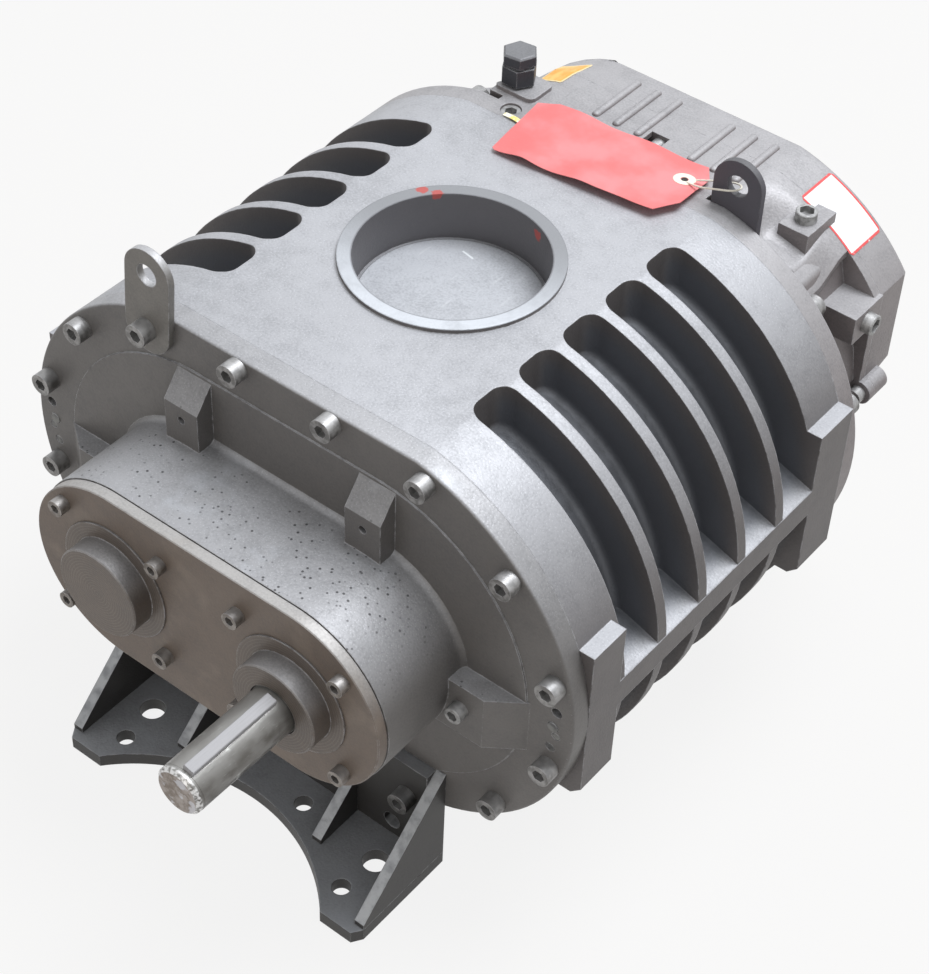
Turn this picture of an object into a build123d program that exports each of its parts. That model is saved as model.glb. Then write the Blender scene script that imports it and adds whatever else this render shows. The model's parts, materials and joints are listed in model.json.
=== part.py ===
from build123d import *

import math
import os

# Two-lobe rotary (roots) vacuum pump on two plate feet. Millimetres, +Z up.
# Seen from the drive end, +X is to the right and +Y runs back to the gear end.
# The origin is under the middle of the pump, on the surface that the feet stand on.

# ---- driving dimensions ------------------------------------------------------
centres = 177.8            # between the two rotor axes (7 in gears)
axis_height = 241.3        # rotor axes above the feet
face_y = -140.0            # front face of the drive-end head's flange
flange = 18.5              # thickness of each head's flange
chamber = 346.0            # length of the rotor chamber, between the heads
outline_r = 186.0          # round ends of the casing and of the head flanges
outline_half = 86.0        # half the distance between those rounds
flat_top = 182.5           # the rounds are cut flat here, above and below the axes
chamber_r = 133.65         # rotor bores in the casing
head_screw_r = 173.3       # radius of the head screws' arcs
head_screw_angles = (15, 45, 75)
head_screw_mid_x = 44.9
foot_screws_below = -150.0
upright_tops = (-131.0, -152.0)   # tops of the upright plates of the front and the rear foot
head_screw_shank = 6.35    # 1/2 in socket head cap screws
cover_screw_shank = 4.7625 # 3/8 in
port_y = face_y + 192.0    # middle of the inlet and discharge ports
port_bore = 77.0
port_ring = 88.4
side_x = 272.0             # outer face of the side rail and pads
shaft_r = 20.6375          # drive shaft extension, 1 5/8 in
shaft_tip = -217.0         # end of the extension, from the head's front face
key_size = 9.525
key_angle = 76.0
bulge_front = -87.7        # front of the bearing housing, from the head's front face
cover_half = 88.9
cover_r = 83.6
cover_thick = 9.7
joint_y = face_y + 454.0   # joint between the gear-end head and the gear cover
cover_back = face_y + 497.0
gear_teeth = 35

bore_x = centres / 2
rear_face = face_y + flange + chamber          # front face of the gear-end flange
rear_back = rear_face + flange                 # its rear face
chamber_front = face_y + flange
sides = (1, -1)


# ---- helpers -------------------------------------------------------------------
def prism(sketch, y_from, y_to):
    """Extrude a sketch drawn across the pump (x right, y up from the axes) from y_from back to y_to."""
    across = Plane(origin=(0, y_to, axis_height), x_dir=(1, 0, 0), z_dir=(0, -1, 0))
    return extrude(across * sketch, y_to - y_from)


def rod(radius, y_from, y_to, x=0.0, z=0.0):
    return prism(Pos(x, z) * Circle(radius), y_from, y_to)


def upright_rod(radius, x, y, z_from, z_to):
    return Pos(x, y, axis_height + z_from) * extrude(Circle(radius), z_to - z_from)


def block(x_from, x_to, y_from, y_to, z_from, z_to):
    size = (x_to - x_from, y_to - y_from, z_to - z_from)
    middle = ((x_from + x_to) / 2, (y_from + y_to) / 2, axis_height + (z_from + z_to) / 2)
    return Pos(*middle) * Box(*size)


def turned(profile, x):
    """A round piece about a rotor axis, from (radius, y) corners."""
    return Pos(x, 0, axis_height) * revolve(make_face(Polyline(*profile, close=True)), Axis.Y)


def both_sides(shape):
    return [shape, mirror(shape, Plane.YZ)]


def outline(radius=outline_r, half=outline_half, top=flat_top):
    """Round-ended outline of the casing and of the head flanges, cut flat above and below."""
    ends = [Pos(side * half, 0) * Circle(radius) for side in sides]
    full = ends[0] + ends[1] + Rectangle(2 * half, 2 * radius)
    return full & Rectangle(4 * radius, 2 * top)


def obround(half, radius):
    return SlotCenterToCenter(2 * half, 2 * radius)


def head_screw_places():
    """(x, z) of the sixteen screws of each head."""
    places = [(side * head_screw_mid_x, level * (flat_top - 9.5)) for side in sides for level in sides]
    for side in sides:
        for level in sides:
            for angle in head_screw_angles:
                turn = math.radians(angle)
                x = side * (outline_half + head_screw_r * math.cos(turn))
                places.append((x, level * head_screw_r * math.sin(turn)))
    return places


def foot_screw_places():
    """The lowest four of those screws, which also go through the foot's upright plate."""
    return [place for place in head_screw_places() if place[1] < foot_screws_below]


def cap_screw(radius, length, head_r, head_h, hexagon):
    """Socket head cap screw along Y: its head's seat is at y = 0 and the head points to -Y."""
    head = extrude(Plane.XZ * Circle(head_r), head_h)
    shank = extrude(Plane.XZ * Circle(radius), -length)
    socket = extrude(Plane((0, -head_h, 0), x_dir=(1, 0, 0), z_dir=(0, 1, 0)) * RegularPolygon(hexagon, 6), head_h / 2)
    return head + shank - socket


def placed(shape, places, y, turn=0):
    return [Pos(x, y, axis_height + z) * Rot(0, 0, turn) * shape for x, z in places]


nodes = {}


def node(name, *shapes):
    flat = [s for shape in shapes for s in (shape if isinstance(shape, list) else [shape])]
    nodes[name] = flat


# ---- casing ---------------------------------------------------------------------
rib_pitch = 53.2
pocket_width = 42.5
pocket_floor_r = 147.0
pocket_inner_x = 115.6
first_pocket = face_y + 84.4
pad_low, pad_top = -85.0, 70.0
rail_half = 13.0


def side_pocket():
    """Cutter for one cooling pocket: a curved floor, a straight inner wall and a floor sloping off the rail."""
    reach = side_x + 20
    profile = make_face(Polyline(
        (pocket_inner_x, flat_top + 20), (reach, flat_top + 20), (reach, rail_half - 4),
        (side_x, rail_half), (250, rail_half + 8), (outline_half + pocket_floor_r - 6, rail_half + 16),
        (outline_half, rail_half + 16), (outline_half, 120), (pocket_inner_x, 120), close=True))
    profile -= Pos(outline_half, 0) * Circle(pocket_floor_r)
    cutter = prism(profile, -pocket_width / 2, pocket_width / 2)
    inner = [e for e in cutter.edges().filter_by(Axis.Z) if abs(e.center().X - pocket_inner_x) < 1]
    cutter = fillet(inner, 14)
    floor = [e for e in cutter.edges().filter_by(GeomType.CIRCLE) if abs(e.radius - pocket_floor_r) < 0.1]
    return fillet(floor, 7)


def make_casing():
    body = prism(outline(), chamber_front, rear_face)
    for y_from, y_to in ((chamber_front, face_y + 57), (face_y + 318, rear_face)):
        pads = block(-side_x, side_x, y_from, y_to, pad_low, pad_top)
        low = [e for e in pads.edges().filter_by(Axis.Y) if e.center().Z < axis_height]
        body += chamfer(low, 9)
    body += block(-side_x, side_x, chamber_front, rear_face, -rail_half, rail_half)
    ring_top = flat_top + 3.7
    body += upright_rod(port_ring, 0, port_y, -ring_top, ring_top)
    pocket = side_pocket()
    cutters = []
    for i in range(5):
        one = Pos(0, first_pocket + i * rib_pitch, 0) * pocket
        for upper in both_sides(one):
            flipped = mirror(upper, Plane.XY.offset(axis_height))
            cutters += [upper, flipped]
    body -= cutters
    body -= [rod(chamber_r, chamber_front, rear_face, side * bore_x) for side in sides]
    body -= upright_rod(port_bore - 7, 0, port_y, -ring_top, ring_top)
    body -= upright_rod(disc_r + 0.3, 0, port_y, port_ledge, port_ledge + disc_thick)
    body -= upright_rod(port_bore, 0, port_y, port_ledge + disc_thick, ring_top)
    body -= upright_rod(port_bore, 0, port_y, -ring_top, -port_ledge)
    depth = 30
    for x, z in head_screw_places():
        body -= rod(head_screw_shank, chamber_front, chamber_front + depth, x, z)
        body -= rod(head_screw_shank, rear_face - depth, rear_face, x, z)
    return body


port_ledge = 140.0          # a ledge inside each port, this far from the axes
disc_r, disc_thick = port_bore - 2.5, 3.0
node("casing", make_casing())
node("inlet_shipping_disc", upright_rod(disc_r, 0, port_y, port_ledge, port_ledge + disc_thick))


# ---- drive-end head -------------------------------------------------------------
bearing_r = 55.0
bearing_width = 27.0
bearing_bore = 25.0
hub_r = 30.0                # shaft where the rotor sits on it
seal_r = 38.0
boss_front = -20.0
drain_plug_r = 7.5
foot_pad_low = -222.0
foot_pad_half = 140.0
step_r, step_high = 145.0, 1.5   # raised machined face round the bearing housing
pull_hole = (256.6, 17.2)   # open threaded hole that pulls the head off its pins
head_pins = [(254.3, 0.4, 4.8), (257.6, -8.2, 3.5), (253.3, -22.9, 4.0)]   # places and radii
cover_screw_step = 50.0     # the cover screws stand at the corners of a square about each bore
cover_screw_places = [(side * bore_x + step_x, step_z) for side in sides
                      for step_x in (-cover_screw_step, cover_screw_step)
                      for step_z in (-cover_screw_step, cover_screw_step)]


def bearing_block(side):
    """Machining block on the head's face above a rotor axis, with a sloping top."""
    profile = make_face(Polyline((0, 80), (-18, 80), (-18, 121), (0, 144.4), close=True))
    across = Plane(origin=(side * bore_x - 16.75, face_y, axis_height), x_dir=(0, 1, 0), z_dir=(1, 0, 0))
    solid = extrude(across * profile, 33.5)
    return solid - rod(3.4, face_y - 18, face_y - 3, side * bore_x, 108)


def drain_boss():
    """Boss at the end of the bearing housing that carries the oil drain plug."""
    plan = make_face(Polyline((160, 0), (160, boss_front), (206, boss_front), (233, 0), close=True))
    return Pos(0, face_y, axis_height - 42) * extrude(plan, 52)


def make_drive_head():
    head = prism(outline(), face_y, chamber_front)
    head = fillet(head.faces().sort_by(Axis.Y)[0].outer_wire().edges(), 2.5)
    housing = prism(obround(cover_half, cover_r + 1), face_y + bulge_front, face_y + 0.5)
    head += housing
    root = [e for e in head.edges() if abs(e.center().Y - face_y) < 0.05
            and max(abs(v.Z - axis_height) for v in e.vertices()) < 90]
    head = fillet(root, 8)
    step = prism(obround(outline_half, step_r), face_y - step_high, face_y + 1)
    head += step & block(-side_x, side_x, face_y - 5, face_y + 5, upright_tops[0] + 1, flat_top)
    head += [bearing_block(side) for side in sides]
    head += both_sides(drain_boss())
    head += block(-foot_pad_half, foot_pad_half, face_y, chamber_front, foot_pad_low, -150)
    for side in sides:
        x = side * bore_x
        head -= rod(bearing_r, face_y + bulge_front, face_y - 45, x)
        head -= rod(hub_r + 1, face_y - 45, chamber_front, x)
        head -= rod(seal_r, face_y + 6.5, chamber_front, x)
        head -= rod(drain_plug_r, face_y - 20, face_y - 8, side * 185, -14)
    for x, z in head_screw_places():
        head -= rod(6.6, face_y, chamber_front, x, z)
    for x, z in cover_screw_places:
        head -= rod(cover_screw_shank, face_y + bulge_front, face_y + bulge_front + 22, x, z)
    for side in sides:
        head -= rod(4.5, face_y, face_y + 12, side * pull_hole[0], pull_hole[1])
        for x, z, radius in head_pins:
            head -= rod(radius, face_y, chamber_front, side * x, z)
    return head


node("drive_end_head", make_drive_head())

head_screw = cap_screw(head_screw_shank, flange + 25, 9.525, 12.7, 5.5)
lug_thick = 6.0
lug_screw = (outline_half + head_screw_r * math.cos(math.radians(75)), head_screw_r * math.sin(math.radians(75)))


def head_screws(y, turn, lug_side):
    """The screws of one head; the one that holds a lifting lug stands out by the lug's thickness."""
    away = -1 if turn == 0 else 1
    held = (lug_side * lug_screw[0], lug_screw[1])
    solids = []
    for place in head_screw_places():
        if place in foot_screw_places():
            continue
        on_lug = math.dist(place, held) < 1
        solids += placed(head_screw, [place], y + (away * lug_thick if on_lug else 0), turn)
    return solids


node("drive_head_screws", head_screws(face_y, 0, -1))
node("gear_head_screws", head_screws(rear_back, 180, 1))

node("head_dowels", [Pos(0, face_y - 0.8 * (radius == 4.8), 0) * chamfer(rod(radius, 0, flange - 1, side * x, z).edges(), 0.5)
                     for side in sides for x, z, radius in head_pins])


# ---- bearing cover, caps and seals at the drive end -------------------------------
cover_front = face_y + bulge_front - 0.5 - cover_thick
cover_rear = cover_front + cover_thick
cap_front = cover_front - 20.1
cap_r = 39.6
cap_step_r = 52.5
spigot_r = 45.0

gasket = prism(obround(cover_half, cover_r - 0.8), cover_rear, cover_rear + 0.5)
cover = prism(obround(cover_half, cover_r), cover_front, cover_rear)
cover = chamfer(cover.faces().sort_by(Axis.Y)[0].outer_wire().edges(), 0.8)
for side in sides:
    gasket -= rod(bearing_r, cover_rear, cover_rear + 0.5, side * bore_x)
    cover -= rod(spigot_r, cover_front, cover_rear, side * bore_x)
for x, z in cover_screw_places:
    gasket -= rod(5.2, cover_rear, cover_rear + 0.5, x, z)
    cover -= rod(5.2, cover_front, cover_rear, x, z)
node("bearing_cover_gasket", gasket)
node("bearing_cover_plate", cover)

cover_screw = cap_screw(cover_screw_shank, cover_thick + 0.5 + 18, 7.14, 9.525, 4.2)
node("bearing_cover_screws", placed(cover_screw, cover_screw_places, cover_front))

blind_cap = turned([(0, cap_front), (cap_r - 1, cap_front), (cap_r, cap_front + 1), (cap_r, cover_front - 1.5),
                    (cap_step_r, cover_front - 1.5), (cap_step_r, cover_front), (spigot_r, cover_front),
                    (spigot_r, cover_rear), (spigot_r - 8, cover_rear), (spigot_r - 12, cap_front + 6),
                    (0, cap_front + 6)], -bore_x)
node("blind_bearing_cap", blind_cap)
seal_cap = turned([(21.9, cap_front), (cap_r - 1, cap_front), (cap_r, cap_front + 1), (cap_r, cover_front - 1.5),
                   (cap_step_r, cover_front - 1.5), (cap_step_r, cover_front), (spigot_r, cover_front),
                   (spigot_r, cover_rear), (32, cover_rear), (32, cap_front + 6), (21.9, cap_front + 6)], bore_x)
node("shaft_seal_cap", seal_cap)
journal_r = 21.3            # ground part of the shaft that the lip seal runs on
lip_seal = turned([(journal_r + 0.05, cap_front + 6), (32, cap_front + 6), (32, cap_front + 16),
                   (29, cap_front + 16), (29, cap_front + 9), (24, cap_front + 9), (22.8, cap_front + 15),
                   (journal_r + 0.05, cap_front + 15)], bore_x)
node("drive_shaft_lip_seal", lip_seal)


# ---- shafts, rotors, key ----------------------------------------------------------
gear_front = face_y + 431.0
gear_width = 30.0
gear_bore = 23.0
nut_front = gear_front + gear_width
nut_length = 12.0
bearing_back = face_y + 425.0
bearing_fronts = (face_y - 45 - bearing_width, bearing_back - bearing_width)


def shaft_profile(front):
    """Stepped shaft from its front end back to the gear nut, as (radius, y) corners."""
    return front + [
        (bearing_bore, face_y - 45), (hub_r, face_y - 45), (hub_r, bearing_back - bearing_width),
        (bearing_bore, bearing_back - bearing_width), (bearing_bore, bearing_back + 2),
        (gear_bore, bearing_back + 2), (gear_bore, nut_front), (19, nut_front),
        (19, nut_front + nut_length), (0, nut_front + nut_length)]


tip_y = face_y + shaft_tip
lead_r, lead_length = 20.42, 6.4     # eased end of the extension, where a coupling starts on
drive_front = [(0, tip_y), (lead_r - 2.5, tip_y), (lead_r, tip_y + 2.5), (lead_r, tip_y + lead_length),
               (shaft_r, tip_y + lead_length), (shaft_r, cap_front + 1),
               (journal_r, cap_front + 1), (journal_r, face_y - 80), (bearing_bore, face_y - 80)]
driven_front = [(0, face_y - 78), (bearing_bore - 1, face_y - 78), (bearing_bore, face_y - 77)]
key_from, key_to = tip_y + 7, face_y - 124
key_box = Box(key_size, key_to - key_from, key_size)
key_place = (Pos(bore_x, (key_from + key_to) / 2, axis_height) * Rot(0, 90 - key_angle, 0)
             * Pos(0, 0, shaft_r))
key = chamfer((key_place * key_box).edges().group_by(SortBy.LENGTH)[-1], 0.5)
node("drive_shaft", turned(shaft_profile(drive_front), bore_x) - key_place * key_box)
node("driven_shaft", turned(shaft_profile(driven_front), -bore_x))
node("drive_key", key)


def lobe_points(start, outward, steps=9):
    """Points of one rolling curve on the pitch circle, from one crossing of it to the next.

    outward is 1 for a lobe (rolled outside the circle) and -1 for a waist (rolled inside).
    The curve is brought in by half the working gap, square to itself.
    """
    pitch, roll, gap = centres / 2, centres / 8, 0.22
    points = []
    for i in range(1, steps):
        turn = math.radians(start + 90 * i / steps)
        contact = (pitch * math.cos(turn), pitch * math.sin(turn))
        carrier = pitch + outward * roll
        spin = turn + (math.pi if outward > 0 else 0)
        rolled = outward * (pitch / roll) * (turn - math.radians(start))
        x = carrier * math.cos(turn) + roll * math.cos(spin + rolled)
        y = carrier * math.sin(turn) + roll * math.sin(spin + rolled)
        away = (x - contact[0], y - contact[1])
        size = math.hypot(*away)
        points.append((x - outward * gap * away[0] / size, y - outward * gap * away[1] / size))
    return points


def rotor_outline():
    """Two lobes along local x and two waists across, as one smooth closed curve."""
    points = []
    for quarter in range(4):
        points += lobe_points(-45 + 90 * quarter, 1 if quarter % 2 == 0 else -1)
    return make_face(Spline(*points, periodic=True))


def make_rotor(x, turn):
    end_gap = 0.35
    profile = Rot(0, 0, turn) * rotor_outline() - Circle(hub_r)
    return prism(Pos(x, 0) * profile, chamber_front + end_gap, rear_face - end_gap)


node("drive_rotor", make_rotor(bore_x, 90))
node("driven_rotor", make_rotor(-bore_x, 0))


# ---- bearings and chamber seals ------------------------------------------------------
roller_r = 7.0
roller_ring = 40.0
roller_count = 12
race_out = roller_ring + roller_r + 0.05
race_in = roller_ring - roller_r


def outer_race(x, y):
    return turned([(race_out, y), (bearing_r, y), (bearing_r, y + bearing_width), (race_out, y + bearing_width)], x)


def inner_race(x, y):
    return turned([(bearing_bore, y), (race_in, y), (race_in, y + bearing_width),
                   (bearing_bore, y + bearing_width)], x)


def rollers(x, y):
    step = 360 / roller_count
    ring = [(x + roller_ring * math.cos(math.radians(step * i)), roller_ring * math.sin(math.radians(step * i)))
            for i in range(roller_count)]
    return [rod(roller_r, y + 4, y + bearing_width - 4, px, pz) for px, pz in ring]


node("bearing_outer_races", [outer_race(side * bore_x, y) for side in sides for y in bearing_fronts])
for name, x in (("drive", bore_x), ("driven", -bore_x)):
    node(f"{name}_bearing_inner_races", [inner_race(x, y) for y in bearing_fronts])
    node(f"{name}_bearing_rollers", [rollers(x, y) for y in bearing_fronts][0] + rollers(x, bearing_fronts[1]))

chamber_seals = []
for side in sides:
    for y in (face_y + 6.5, rear_face + 2):
        chamber_seals.append(rod(seal_r, y, y + 10, side * bore_x) - rod(hub_r + 0.06, y, y + 10, side * bore_x))
node("rotor_chamber_seals", chamber_seals)


# ---- gear-end head ---------------------------------------------------------------------
roof_half = 118.0
recess_back = face_y + 446.0
gear_side_x = 236.0
gear_sump = -150.0
top_pocket_back = face_y + 430.0
gear_screw_places = [(28, 172), (138, 165.5), (gear_side_x + 1, 12), (100, gear_sump - 3)]
gear_screw_seats = [top_pocket_back, recess_back, recess_back, recess_back]
gear_rib_xs = (-29.5, -8.8, 12.5, 65.5, 87.5, 108.5)
lower_corners = [(gear_side_x, 22), (178, -135), (160, gear_sump)]


def mirrored_outline(corners):
    """Closed outline from the corners of its right half, listed from the top down."""
    return make_face(Polyline(*corners, *[(-x, z) for x, z in reversed(corners)], close=True))


def neck_outline():
    """Body behind the flange: a flat roof, then a lower shoulder that leaves room for the head screws."""
    return mirrored_outline([(roof_half, flat_top), (roof_half, 158), (156, 155), (184, 149), (198, 140),
                            (211, 91), (225, 53), (230, 22), (182, -112), (149, -121), (145, gear_sump)])


def gear_outline(inset=0.0):
    limit = mirrored_outline([(gear_side_x, flat_top + 10)] + lower_corners)
    full = outline() & limit
    return offset(full, -inset, kind=Kind.INTERSECTION) if inset else full


def gear_ears(y_from, y_to):
    """Round ears at the outline that carry the gear cover's lower screws."""
    return [rod(11, y_from, y_to, side * x, z) for side in sides for x, z in gear_screw_places[2:]]


def gear_ribs(y_from, y_to):
    """Thin raised ribs along the roof, in two groups of three."""
    return [block(x - 1.6, x + 1.6, y_from, y_to, flat_top - 1, flat_top + 2.4) for x in gear_rib_xs]


def make_gear_head():
    head = prism(outline(), rear_face, rear_back)
    neck = prism(neck_outline(), rear_back, recess_back)
    shoulder = [e for e in neck.edges().filter_by(Axis.Y)
                if abs(abs(e.center().X) - 198) < 1 or abs(abs(e.center().X) - 184) < 1]
    head += fillet(shoulder, 9)
    head += prism(gear_outline(), recess_back, joint_y)
    head += gear_ears(recess_back, joint_y)
    head += block(-foot_pad_half, foot_pad_half, rear_face, rear_back, foot_pad_low, -150)
    head += block(156, 184, face_y + 412, joint_y, 130, 168)
    head += block(180, 238, face_y + 412, joint_y, 86, 112)
    vent_pad = block(-roof_half, -78, face_y + 394, face_y + 426, flat_top - 1, flat_top + 4)
    head += fillet(vent_pad.edges().filter_by(Axis.Z), 6)
    head += gear_ribs(face_y + 424, joint_y)
    for side in sides:
        x = side * bore_x
        head -= rod(bearing_r, bearing_back - bearing_width, bearing_back, x)
        head -= rod(hub_r + 1, rear_face, bearing_back - bearing_width, x)
        head -= rod(seal_r, rear_face, rear_face + 12, x)
        pocket_x = sorted((side * 14, side * 62))
        head -= block(*pocket_x, rear_back, top_pocket_back, 157, flat_top + 3)
        lug_x = sorted((side * 104, side * 158))
        head -= block(*lug_x, rear_back, rear_back + lug_thick + 0.5, 125, flat_top + 1)
    head -= prism(obround(bore_x, 97), bearing_back, joint_y)
    for x, z in head_screw_places():
        head -= rod(6.6, rear_face, rear_back, x, z)
        head -= rod(11, rear_back, rear_back + 16, x, z)
    for (x, z), seat in zip(gear_screw_places, gear_screw_seats):
        head -= [rod(5.2, seat, joint_y, side * x, z) for side in sides]
        if seat == recess_back:
            head -= [rod(9, seat - 14, seat, side * x, z) for side in sides]
    head -= upright_rod(9, vent_x + 17, face_y + 378, 165, flat_top)
    head -= upright_rod(10, vent_x, vent_y, 165, flat_top + 4)
    head -= upright_rod(9, 170, face_y + 430, 150, 168)
    head -= Pos(238, face_y + 431, axis_height + 99) * Rot(0, -90, 0) * extrude(Circle(9), 18)
    return head


vent_x = -104.0
vent_y = face_y + 410
node("gear_end_head", make_gear_head())


# ---- gear cover -----------------------------------------------------------------------
gear_wall = 9.0
gear_screw_depth = 16.0


def make_gear_cover():
    cover = prism(gear_outline(), joint_y, cover_back)
    rim = [e for e in cover.edges() if abs(e.center().Y - cover_back) < 0.1]
    cover = fillet(rim, 6)
    cover += gear_ears(joint_y, joint_y + gear_screw_depth + 4)
    cover += gear_ribs(joint_y, cover_back - 18)
    cover -= prism(gear_outline(20.0), joint_y, cover_back - gear_wall)
    for x, z in gear_screw_places:
        cover -= [rod(cover_screw_shank, joint_y, joint_y + gear_screw_depth, side * x, z) for side in sides]
    return cover


node("gear_cover", make_gear_cover())

gear_screws = []
for (x, z), seat in zip(gear_screw_places, gear_screw_seats):
    screw = cap_screw(cover_screw_shank, joint_y - seat + gear_screw_depth, 7.14, 9.525, 4.2)
    gear_screws += placed(screw, [(side * x, z) for side in sides], seat)
node("gear_cover_screws", gear_screws)


# ---- timing gears, lock nuts ---------------------------------------------------------------
def tooth_angle(radius, base_r, half_at_pitch, pitch_r):
    """Half the angle of a tooth at a radius, for an involute flank."""
    def involute(r):
        roll = math.acos(min(1.0, base_r / r))
        return math.tan(roll) - roll
    return half_at_pitch + involute(pitch_r) - involute(radius)


def gear_outline_face():
    """Spur gear outline with straight-faceted involute flanks and room for oil between the teeth."""
    pitch_r = centres / 2
    module = centres / gear_teeth
    base_r = pitch_r * math.cos(math.radians(20))
    backlash = 0.35
    half_at_pitch = math.pi / (2 * gear_teeth) - backlash / pitch_r
    radii = [pitch_r - 1.2 * module, pitch_r - 0.45 * module, pitch_r + 0.3 * module, pitch_r + 0.93 * module]
    corners = []
    for i in range(gear_teeth):
        middle = 2 * math.pi * i / gear_teeth
        flank = [(r, tooth_angle(max(r, base_r), base_r, half_at_pitch, pitch_r)) for r in radii]
        for r, half in flank:
            corners.append((r * math.cos(middle - half), r * math.sin(middle - half)))
        for r, half in reversed(flank):
            corners.append((r * math.cos(middle + half), r * math.sin(middle + half)))
    return make_face(Polyline(*corners, close=True))


def make_timing_gear(x):
    gear = prism(Pos(x, 0) * (gear_outline_face() - Circle(gear_bore)), gear_front, gear_front + gear_width)
    web = Pos(x, 0) * (Circle(70) - Circle(36))
    gear -= prism(web, gear_front, gear_front + 7)
    return gear - prism(web, gear_front + gear_width - 7, gear_front + gear_width)


def make_lock_nut(x):
    nut = prism(Pos(x, 0) * (RegularPolygon(31, 6) - Circle(19)), nut_front, nut_front + nut_length)
    return nut


for name, x in (("drive", bore_x), ("driven", -bore_x)):
    node(f"{name}_timing_gear", make_timing_gear(x))
    node(f"{name}_gear_lock_nut", make_lock_nut(x))


# ---- plugs and vent ----------------------------------------------------------------------
def socket_plug(radius, stand, depth, hexagon):
    """Pipe plug with a hexagon socket, pointing to +Z from its seat at z = 0."""
    body = extrude(Circle(radius), stand + depth)
    body = chamfer(body.faces().sort_by(Axis.Z)[-1].edges(), 0.8)
    body -= Pos(0, 0, stand + depth - 6) * extrude(RegularPolygon(hexagon, 6), 6)
    return Pos(0, 0, -depth) * body


node("oil_fill_plug", Pos(vent_x + 17, face_y + 378, axis_height + flat_top - 1.5) * socket_plug(9, 0, 12, 5.5))
node("gear_head_plugs",
     Pos(170, face_y + 430, axis_height + 168) * socket_plug(9, 9, 12, 6.5),
     Pos(238, face_y + 431, axis_height + 99) * Rot(0, 90, 0) * socket_plug(9, 9, 12, 6.5))
node("oil_drain_plugs", [Pos(side * 185, face_y + boss_front, axis_height - 14) * Rot(90, 0, 0)
                         * socket_plug(drain_plug_r, 10, 10, 4.7) for side in sides])

vent_base = flat_top + 4
vent = upright_rod(10, vent_x, vent_y, vent_base - 10, vent_base + 3)
vent += Pos(vent_x, vent_y, axis_height + vent_base + 2) * extrude(RegularPolygon(15.6, 6), 16)
vent += upright_rod(12, vent_x, vent_y, vent_base + 18, vent_base + 21)
hex_cap = Pos(vent_x, vent_y, axis_height + vent_base + 20.5) * Rot(0, 0, 8) * extrude(RegularPolygon(15.6, 6), 10)
vent += chamfer(hex_cap.faces().sort_by(Axis.Z)[-1].edges(), 1.5)
node("vent_breather", vent)


# ---- lifting lugs -------------------------------------------------------------------------
lug_width = 44.5
lug_hole_r = 9.5
front_hole_up, rear_hole_up = 52.3, 40.0


def make_lug(hole_up):
    """Round-ended plate lug in the X-Y plane, its fixing hole at the origin and its lifting hole above."""
    plate = Pos(0, hole_up / 2) * Rectangle(lug_width, hole_up)
    plate += [Pos(0, up) * Circle(lug_width / 2) for up in (0, hole_up)]
    for up, radius in ((0, 6.6), (hole_up, lug_hole_r)):
        plate -= Pos(0, up) * Circle(radius)
    return plate


front_lug_tilt = -4.5
front_lug = prism(Pos(-lug_screw[0], lug_screw[1]) * Rot(0, 0, front_lug_tilt) * make_lug(front_hole_up),
                  face_y - lug_thick, face_y)
rear_lug = prism(Pos(*lug_screw) * make_lug(rear_hole_up), rear_back, rear_back + lug_thick)
node("lifting_lug_front", front_lug)
node("lifting_lug_rear", rear_lug)


# ---- feet ----------------------------------------------------------------------------------
foot_thick = 12.7
foot_top = foot_thick - axis_height
foot_reach = 108.0
foot_half = 160.0
foot_tip = 122.0
foot_bay = 62.0
gusset = 9.5
outer_gusset_x = foot_half - gusset / 2
upright_thick = 12.0
upright_hole = (116.0, -212.0)


def foot_base():
    """Base plate of the drive-end foot, bowed in at the front between its two toes."""
    plan = make_face(Polyline((-foot_half, 0), (foot_half, 0), (foot_half, 9 - foot_reach),
                              (foot_half - 6, -foot_reach), (6 - foot_half, -foot_reach),
                              (-foot_half, 9 - foot_reach), close=True))
    depth = foot_reach - foot_bay + 11
    bow_r = (foot_tip ** 2 + depth ** 2) / (2 * depth)
    plan -= Pos(0, -foot_reach + depth - bow_r) * Circle(bow_r)
    for x, y, r in ((124, -42, 11.1), (119.5, -79, 7.95), (41, -35.5, 7.95)):
        plan -= [Pos(side * x, y) * Circle(r) for side in sides]
    return Pos(0, face_y, 0) * extrude(plan, foot_thick)


def foot_upright(top):
    plate = block(-foot_half + gusset, foot_half - gusset, face_y - upright_thick, face_y, foot_top, top)
    plate -= [rod(6.6, face_y - upright_thick, face_y, x, z) for x, z in foot_screw_places()]
    return plate - [rod(8.2, face_y - upright_thick, face_y, side * upright_hole[0], upright_hole[1])
                    for side in sides]


def foot_gusset(x, run, top):
    """Triangular side plate with a 45 degree edge, standing on the base and against the head."""
    low_y = face_y - run
    high = foot_top + run
    corners = [(face_y, foot_top), (low_y, foot_top), (low_y, foot_top + 5), (face_y - (high - top), top),
               (face_y, top)]
    across = Plane(origin=(x - gusset / 2, 0, axis_height), x_dir=(0, 1, 0), z_dir=(1, 0, 0))
    return extrude(across * make_face(Polyline(*corners, close=True)), gusset)


def notched(plate):
    """A gusset that stops at the upright plate."""
    return plate - block(-foot_half, foot_half, face_y - upright_thick, face_y, foot_top, 0)


def foot_pieces(top):
    """The pieces of the drive-end foot, with its upright plate this high."""
    gussets = [foot_gusset(side * outer_gusset_x, 99, -130) for side in sides]
    gussets += [notched(foot_gusset(side * 75, 58, -186)) for side in sides]
    screw = cap_screw(head_screw_shank, upright_thick + flange + 25, 9.525, 12.7, 5.5)
    return {"base": [foot_base()], "upright": [foot_upright(top)], "gussets": gussets,
            "screws": placed(screw, foot_screw_places(), face_y - upright_thick)}


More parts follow.
